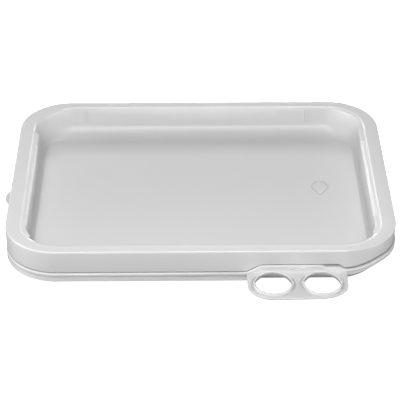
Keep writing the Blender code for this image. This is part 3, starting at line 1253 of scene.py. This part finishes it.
@dataclass
class Tray:
    """The tray: body, rim bead, outer flange, finger tab with two collared holes, thumb lip."""

    box: BoxSizes
    inset_top: float = 0.0055
    inset_foot: float = 0.0152
    foot_round: float = 0.0012
    corner_tuck: float = 0.0035
    floor_cove: float = 0.0026
    bead_height: float = 0.0028
    ledge: float = 0.01765
    ledge_notch: float = 0.02625
    ledge_nail: float = 0.02345
    ledge_peel: float = 0.02055
    ledge_corner: float = 0.0258
    flange_foot: float = 0.0080
    flange_raised: float = 0.0142
    flange_corner: float = 0.0212
    hole_x: tuple[float, float] = (0.0726, 0.1220)
    hole_y: float = -0.1722
    hole_radius: float = 0.0180
    collar_radius: float = 0.0203
    end_reach_x: float = 0.0265
    end_reach_y: Point = (0.0250, 0.0232)
    tab_bottom: float = 0.01585
    tab_top: float = 0.01805
    collar_top: float = 0.02025
    groove_radius: float = 0.0220
    groove_level: float = 0.0164
    lip_centre: float = 0.0040
    lip_length: float = 0.0310
    lip_reach: float = 0.0110
    flare: float = 0.0014
    flare_start: Point = (0.0500, 0.0640)
    flare_end: Point = (0.1390, 0.1465)
    pitch: float = 0.014
    floor_edge: float = 0.004
    foot_edge: float = 0.006
    fold_share: float = 0.42
    fold_depth: float = 0.0008
    fold_above: Point = (0.0006, 0.0022)
    fold_below: float = 0.0002
    collar_round: float = 0.0007
    collar_below: float = 0.0002
    pip_size: Place = (0.0026, 0.0034, 0.0016)
    lip_root: float = 0.0012
    lip_steps: int = 24
    arrow_tip: Point = (0.0888, 0.0227)
    arrow_neck: float = 0.0044
    arrow_tail: float = 0.0165
    arrow_head: float = 0.0027
    arrow_shaft: float = 0.0013
    arrow_line: float = 0.0009
    name: str = "tray_shell"

    def dressed(self, material: bpy.types.Material) -> list[bpy.types.Object]:
        """Make the tray's pieces.

        Args:
            material: The tray's plastic.

        Returns:
            The shell, the tab with its collars and pips, the thumb lip and the arrow.
        """
        shell = placed_object(self.name, self._shell(), material)
        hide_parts("tray")
        pieces = [shell, *self._tab(material), self._lip(material), self._arrow(material)]
        for piece in pieces:
            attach(piece, Body.TRAY.value)
        return pieces

    def _body_inset(self, height: float) -> float:
        """Return how far the outer wall is drawn in at a height."""
        share = (self.box.height - height) / self.box.height
        return mixed(self.inset_top, self.inset_foot, share)

    def _section(self, stop: Stop) -> list[Knee]:
        """Return the tray's section at a stop: floor, rim, ledge, flange and foot."""
        box, wall = self.box, self.box.wall
        ledge_steps = (
            EdgeStep(box.notch_start, box.notch_full, self.ledge_notch),
            EdgeStep(box.nail_start, box.nail_full, self.ledge_nail),
            EdgeStep(box.peel_start, box.peel_full, self.ledge_peel),
            EdgeStep(box.peel_full, box.corner_middle, self.ledge_corner),
            EdgeStep(box.corner_end, box.peel_end, self.ledge),
        )
        foot_steps = (
            EdgeStep(box.notch_start, box.notch_full, self.flange_raised),
            EdgeStep(box.peel_full, box.corner_middle, self.flange_corner),
            EdgeStep(box.corner_end, box.peel_end, self.flange_foot),
        )
        ledge = edge_height(self.ledge, ledge_steps, stop.distance)
        foot = edge_height(self.flange_foot, foot_steps, stop.distance)
        rim = box.height - wall - box.gap
        bead = wall + box.gap
        under_bead = rim - 2 * self.bead_height
        web = self._body_inset(self.ledge)
        foot_inset = self.inset_foot + self.corner_tuck * math.sin(2 * stop.turn)
        floor = foot_inset + wall + self.floor_cove
        raised = (ledge - self.ledge) / (self.ledge_notch - self.ledge)
        flared = eased(stop.distance, *self.flare_start) * (1.0 - eased(stop.distance, *self.flare_end))
        groove = mixed(ledge, foot, self.fold_share)
        above_plain, above_flared = self.fold_above
        upper_fold = mixed(groove + above_plain, self.tab_top + above_flared, flared)
        lower_fold = mixed(groove, self.tab_top, flared) - self.fold_below
        fold = mixed(self.fold_depth * (1.0 - min(raised, 1.0)), -self.flare, flared)

        def even(inset: float, height: float, rounding: float = 0.0, wear_and_highlight: float = 0.0) -> Knee:
            """Return a knee that is drawn in equally on all sides."""
            return Knee(inset, inset, height, rounding, wear_and_highlight)

        return [
            even(floor + self.floor_edge, wall),
            even(floor - self.floor_cove, wall, 0.0026),
            even(self.inset_top + wall, rim, 0.0006, 0.5),
            even(bead, rim, 0.0006, 0.5),
            even(bead, rim - self.bead_height, 0.0006),
            even(self._body_inset(under_bead), under_bead, 0.0008),
            even(web, ledge, 0.0008),
            even(0.0, ledge, 0.0016, 0.8),
            even(0.0, upper_fold, 0.0003),
            even(fold, lower_fold, 0.0004),
            even(mixed(0.0001, -self.flare, flared), foot, 0.0005, 0.3),
            even(wall, foot, 0.0003),
            even(wall, ledge - wall, 0.0006),
            even(web, ledge - wall, 0.0006),
            even(foot_inset, 0.0, self.foot_round),
            even(foot_inset + self.foot_edge, 0.0),
        ]

    def _shell(self) -> bpy.types.Mesh:
        """Return the tray's shell."""
        box = self.box
        stops = box.outline.stops(box.corner_steps, self.pitch, box.tab_stretches())
        return Sweep(self.box.outline, stops, self._section).mesh(self.name)

    def _tab(self, material: bpy.types.Material) -> list[bpy.types.Object]:
        """Return the finger tab's plate, its two collars and the pips on them."""
        left, right = self.hole_x
        root = -self.box.outline.depth / 2 + self.box.wall * 2
        outline = [(left - self.end_reach_x, root)]
        for middle, reach, start in zip(self.hole_x, self.end_reach_y, (180.0, 270.0)):
            for x, y in arc((0.0, 0.0), 1.0, start, start + 90.0, 20):
                outline.append((middle + x * self.end_reach_x, self.hole_y + y * reach))
        outline.append((right + self.end_reach_x, root))
        radius = self.groove_radius
        holes = [arc((x, self.hole_y), radius, 355.0, 0.0, 71) for x in self.hole_x]
        plate = Plate("tray_finger_tab", self.tab_bottom, self.tab_top, 0.0006)
        tab = placed_object(plate.name, plate.mesh(outline, holes), material)
        collars = [self._collar(side, x, material) for side, x in zip(("left", "right"), self.hole_x)]
        middle = (self.hole_radius + self.collar_radius) / 2 + 0.0004
        level = self.collar_top - 0.0001
        pips = tuple(
            Mark((x + way * middle, self.hole_y, level)) for x in self.hole_x for way in (-1, 1)
        )
        marks = MouldMarks("tray_tab_pips", self.pip_size, pips).made(material)
        return [tab, *collars, marks]

    def _collar(self, side: str, x: float, material: bpy.types.Material) -> bpy.types.Object:
        """Return the collar round one hole, with the groove outside it."""
        soft, top, groove = self.collar_round, self.collar_top, self.groove_level
        low = self.tab_bottom - self.collar_below
        section = [
            (self.hole_radius, low + soft),
            (self.hole_radius, top - soft),
            (self.hole_radius + soft * 0.3, top - soft * 0.3),
            (self.hole_radius + soft, top),
            (self.collar_radius - soft, top),
            (self.collar_radius - soft * 0.3, top - soft * 0.3),
            (self.collar_radius, top - soft),
            (self.collar_radius + 0.0001, groove + 0.0002),
            (self.collar_radius + 0.0003, groove),
            (self.groove_radius + 0.0003, groove),
            (self.groove_radius + 0.0003, low),
            (self.hole_radius + soft * 0.5, low),
        ]
        mesh = lathe(f"collar_{side}", (x, self.hole_y), section, 72)
        return placed_object(f"tray_tab_collar_{side}", mesh, material)

    def _lip(self, material: bpy.types.Material) -> bpy.types.Object:
        """Return the thumb lip in the middle of the left side."""
        half = self.lip_length / 2
        edge = -self.box.outline.length / 2
        outline = [(edge + self.lip_root, self.lip_centre - half)]
        for step in range(self.lip_steps + 1):
            turn = step / self.lip_steps * math.pi
            x, y = edge - self.lip_reach * math.sin(turn), self.lip_centre - half * math.cos(turn)
            outline.append((x, y))
        outline.append((edge + self.lip_root, self.lip_centre + half))
        plate = Plate("tray_thumb_lip", self.flange_foot, self.flange_foot + self.box.wall, 0.0006)
        return placed_object(plate.name, plate.mesh(outline), material)

    def _arrow(self, material: bpy.types.Material) -> bpy.types.Object:
        """Return the outlined arrow on the raised wall between the holes, which points to the left."""
        (x, z), line = self.arrow_tip, self.arrow_line
        neck, tail = x + self.arrow_neck, x + self.arrow_tail
        outer = arrow_ring(self.arrow_tip, neck, tail, self.arrow_head, self.arrow_shaft)
        shaft = self.arrow_shaft - line * 0.8
        inner = arrow_ring((x + line * 2.2, z), neck - line, tail - line, shaft * 2.2, shaft)
        plate = Plate("tray_arrow", -0.0005, 0.0008, 0.0002)
        mesh = plate.mesh(outer, [inner[::-1]])
        standing = Matrix.Rotation(QUARTER, 4, "X")
        front = -self.box.outline.depth / 2 + 0.00005
        mesh.transform(Matrix.Translation((0.0, front, 0.0)) @ standing)
        return placed_object(plate.name, mesh, material)


@dataclass
class Sponge:
    """The damp sponge on the tray's floor: a pressed sheet with rounded edges and open pores."""

    pitch: float = 0.00304
    rings: int = 64
    corner: float = 0.030
    edge: float = 0.0007
    pore_scale: float = 210.0
    pore_depth: float = 0.00055
    sink: float = 0.0003
    seed: float = 4.7
    name: str = "sponge_sheet"

    def dressed(self, material: bpy.types.Material) -> bpy.types.Object:
        """Make the sponge in the space of its solid.

        Args:
            material: The sponge's finish.

        Returns:
            The piece.
        """
        low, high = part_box("sponge")
        mesh = self._pored(self._slab(low, high), material)
        piece = placed_object(self.name, tidy_mesh(mesh, 60.0), material)
        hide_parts("sponge")
        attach(piece, Body.SPONGE.value)
        return piece

    def _slab(self, low: Vector, high: Vector) -> bpy.types.Mesh:
        """Return a finely divided slab with soft edges that fills a box with rounded corners."""
        outline = Outline(high.x - low.x, high.y - low.y, self.corner)
        middle = (low.z + high.z) / 2

        def section(stop: Stop) -> list[Knee]:
            """Return the slab's edge."""
            return [
                Knee(0.006, 0.006, high.z),
                Knee(0.003, 0.003, high.z),
                Knee(0.0, 0.0, high.z, self.edge),
                Knee(0.0, 0.0, middle),
                Knee(0.0, 0.0, low.z, self.edge),
                Knee(0.006, 0.006, low.z),
            ]

        rings = tuple(1.0 - step / self.rings for step in range(1, self.rings))
        stops = outline.stops(14, self.pitch, [])
        return Sweep(outline, stops, section, fill_shares=rings).mesh("sponge_slab")

    def _pored(self, mesh: bpy.types.Mesh, material: bpy.types.Material) -> bpy.types.Mesh:
        """Return the slab with pores sunk into it by Geometry Nodes."""
        bench = NodeBench(
            "sponge_pores",
            {
                "Pore Scale": ("NodeSocketFloat", self.pore_scale),
                "Pore Depth": ("NodeSocketFloat", self.pore_depth),
                "Sink": ("NodeSocketFloat", self.sink),
                "Seed": ("NodeSocketFloat", self.seed),
                "Material": ("NodeSocketMaterial", material),
            },
        )
        given = bench.given
        spot = bench.wire("GeometryNodeInputPosition")
        normal = bench.wire("GeometryNodeInputNormal")
        values = {"Vector": spot, "W": given("Seed"), "Scale": given("Pore Scale")}
        settings = {"voronoi_dimensions": "4D", "feature": "F1"}
        cells = bench.wire("ShaderNodeTexVoronoi", settings, values, "Distance")
        values = {"Vector": spot, "W": given("Seed"), "Scale": 32.0, "Detail": 3.0}
        swell = bench.wire("ShaderNodeTexNoise", {"noise_dimensions": "4D"}, values)
        pore = (0.42 - cells).at_least(0.0) * 2.4 * given("Pore Depth")
        inwards = (pore + swell * given("Sink")) * -1.0
        values = {0: normal, "Scale": inwards}
        offset = bench.wire("ShaderNodeVectorMath", {"operation": "SCALE"}, values)
        values = {"Geometry": given("Geometry"), "Offset": offset}
        bench.close(bench.wire("GeometryNodeSetPosition", None, values))
        return bench.run("sponge_pored", mesh)


@dataclass
class PaperPad:
    """The pad of separate palette sheets, which keep their own shapes."""

    prefix: str = "palette_sheet_"

    def dressed(self, frame: dict, material: bpy.types.Material) -> list[bpy.types.Object]:
        """Give every sheet its paper.

        Args:
            frame: The loaded frame.
            material: The sheets' finish.

        Returns:
            The sheets.
        """
        nodes = sorted(frame["nodes"].items())
        sheets = [thing for name, thing in nodes if name.startswith(self.prefix)]
        for sheet in sheets:
            sheet.data.materials.clear()
            sheet.data.materials.append(material)
        return sheets


# --------------------------------------------------------------------------------------------------
# The studio
# --------------------------------------------------------------------------------------------------


class SoftBox(NamedTuple):
    """An area light: its name, where it stands, where it points, its size and its power."""

    name: str
    place: Place
    target: Place
    size: Point
    power: float


@dataclass
class Studio:
    """The pale floor, the soft lights and the camera."""

    floor_reach: float = 14.0
    sky: float = 0.02
    sky_rise: float = 0.03
    boxes: tuple[SoftBox, ...] = (
        SoftBox("low_left", (-1.6, -0.40, 0.10), (0.0, 0.0, 0.02), (0.8, 0.15), 19.0),
        SoftBox("low_right", (1.5, -0.55, 0.09), (0.0, 0.0, 0.02), (0.8, 0.14), 13.0),
        SoftBox("front_near", (0.0, -0.85, 0.75), (0.0, 0.0, 0.0), (0.9, 0.5), 10.8),
        SoftBox("front_high", (-0.6, -0.7, 1.5), (0.0, 0.0, 0.0), (0.9, 0.8), 7.0),
        SoftBox("back", (0.0, 1.5, 1.2), (0.0, 0.0, 0.0), (1.4, 0.8), 10.5),
        SoftBox("low_back", (0.0, 1.7, 0.12), (0.0, 0.0, 0.02), (2.4, 0.15), 22.0),
    )
    eye: Place = (-0.01240, -1.49195, 0.98386)
    forward: Place = (0.00699, 0.83662, -0.54773)
    rightward: Place = (0.99996, -0.00904, -0.00104)
    lens: float = 145.80
    sensor: float = 36.0

    def built(self, material: bpy.types.Material) -> None:
        """Make the floor, the sky, the lights and the camera."""
        self._floor(material)
        self._sky()
        for box in self.boxes:
            self._light(box)
        self._camera()
        bpy.context.scene.view_settings.view_transform = "Standard"

    def _floor(self, material: bpy.types.Material) -> None:
        """Lay a round floor under the palette."""
        bm = bmesh.new()
        bmesh.ops.create_circle(bm, cap_ends=True, segments=96, radius=self.floor_reach)
        mesh = bpy.data.meshes.new("studio_floor")
        bm.to_mesh(mesh)
        bm.free()
        floor = placed_object("studio_floor", mesh, material)
        floor.visible_diffuse = False
        floor.visible_glossy = False

    def _sky(self) -> None:
        """Fill the studio with even pale light."""
        world = bpy.data.worlds.new("studio_sky")
        world.use_nodes = True
        bench = Bench(world.node_tree)
        place = bench.wire("ShaderNodeTexCoord", output="Generated")
        height = bench.wire("ShaderNodeSeparateXYZ", None, {0: place}, "Z")
        stops = ((0.0, (0.0, 0.0, 0.0, 1.0)), (self.sky_rise, (1.0, 1.0, 1.0, 1.0)))
        ramp = bench.wire("ShaderNodeValToRGB", {"stops": stops}, {"Fac": height}, "Color")
        even = bench.tree.nodes["Background"]
        even.inputs["Strength"].default_value = self.sky
        bench.tree.links.new(ramp.socket, even.inputs["Color"])
        bpy.context.scene.world = world

    def _light(self, box: SoftBox) -> None:
        """Set up one soft light."""
        lamp = bpy.data.lights.new(box.name, "AREA")
        lamp.shape = "RECTANGLE"
        lamp.size, lamp.size_y = box.size
        lamp.energy = box.power
        light = bpy.data.objects.new(box.name, lamp)
        light.location = box.place
        light.visible_camera = False
        way = Vector(box.target) - Vector(box.place)
        light.rotation_euler = way.to_track_quat("-Z", "Y").to_euler()
        bpy.context.scene.collection.objects.link(light)

    def _camera(self) -> None:
        """Set up the camera."""
        ahead = Vector(self.forward).normalized()
        across = Vector(self.rightward)
        across = (across - ahead * across.dot(ahead)).normalized()
        upward = across.cross(ahead)
        lens = bpy.data.cameras.new("camera")
        lens.lens = self.lens
        lens.sensor_width = self.sensor
        camera = bpy.data.objects.new("camera", lens)
        turn = Matrix((across, upward, -ahead)).transposed()
        camera.matrix_world = Matrix.Translation(self.eye) @ turn.to_4x4()
        bpy.context.scene.collection.objects.link(camera)
        bpy.context.scene.camera = camera


def report(pieces: Sequence[bpy.types.Object]) -> None:
    """Log each piece with the size of its mesh."""
    for piece in pieces:
        LOG.info("%s: %d faces", piece.name, len(piece.data.polygons))


def main() -> None:
    """Build the whole palette on its frame."""
    logging.basicConfig(level=logging.INFO, format="%(name)s: %(message)s")
    for thing in list(bpy.data.objects):
        bpy.data.objects.remove(thing, do_unlink=True)
    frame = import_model()
    Studio().built(StudioWhite("studio_white").made())
    box = BoxSizes()
    # The tray takes the lid's plastic at a slightly lower tone, 0.60 against 0.62: painted shade for the
    # tray's body, which lies in shadow under the flange and tab.
    report(Tray(box).dressed(MilkyPlastic("milky_tray", 0.60).made()))
    report([Sponge().dressed(CelluloseSponge("cellulose_sponge").made())])
    report(PaperPad().dressed(frame, PalettePaper("palette_paper").made()))
    report(Lid(box).dressed(MilkyPlastic("milky_lid", 0.62).made()))


if __name__ == "__main__":
    main()
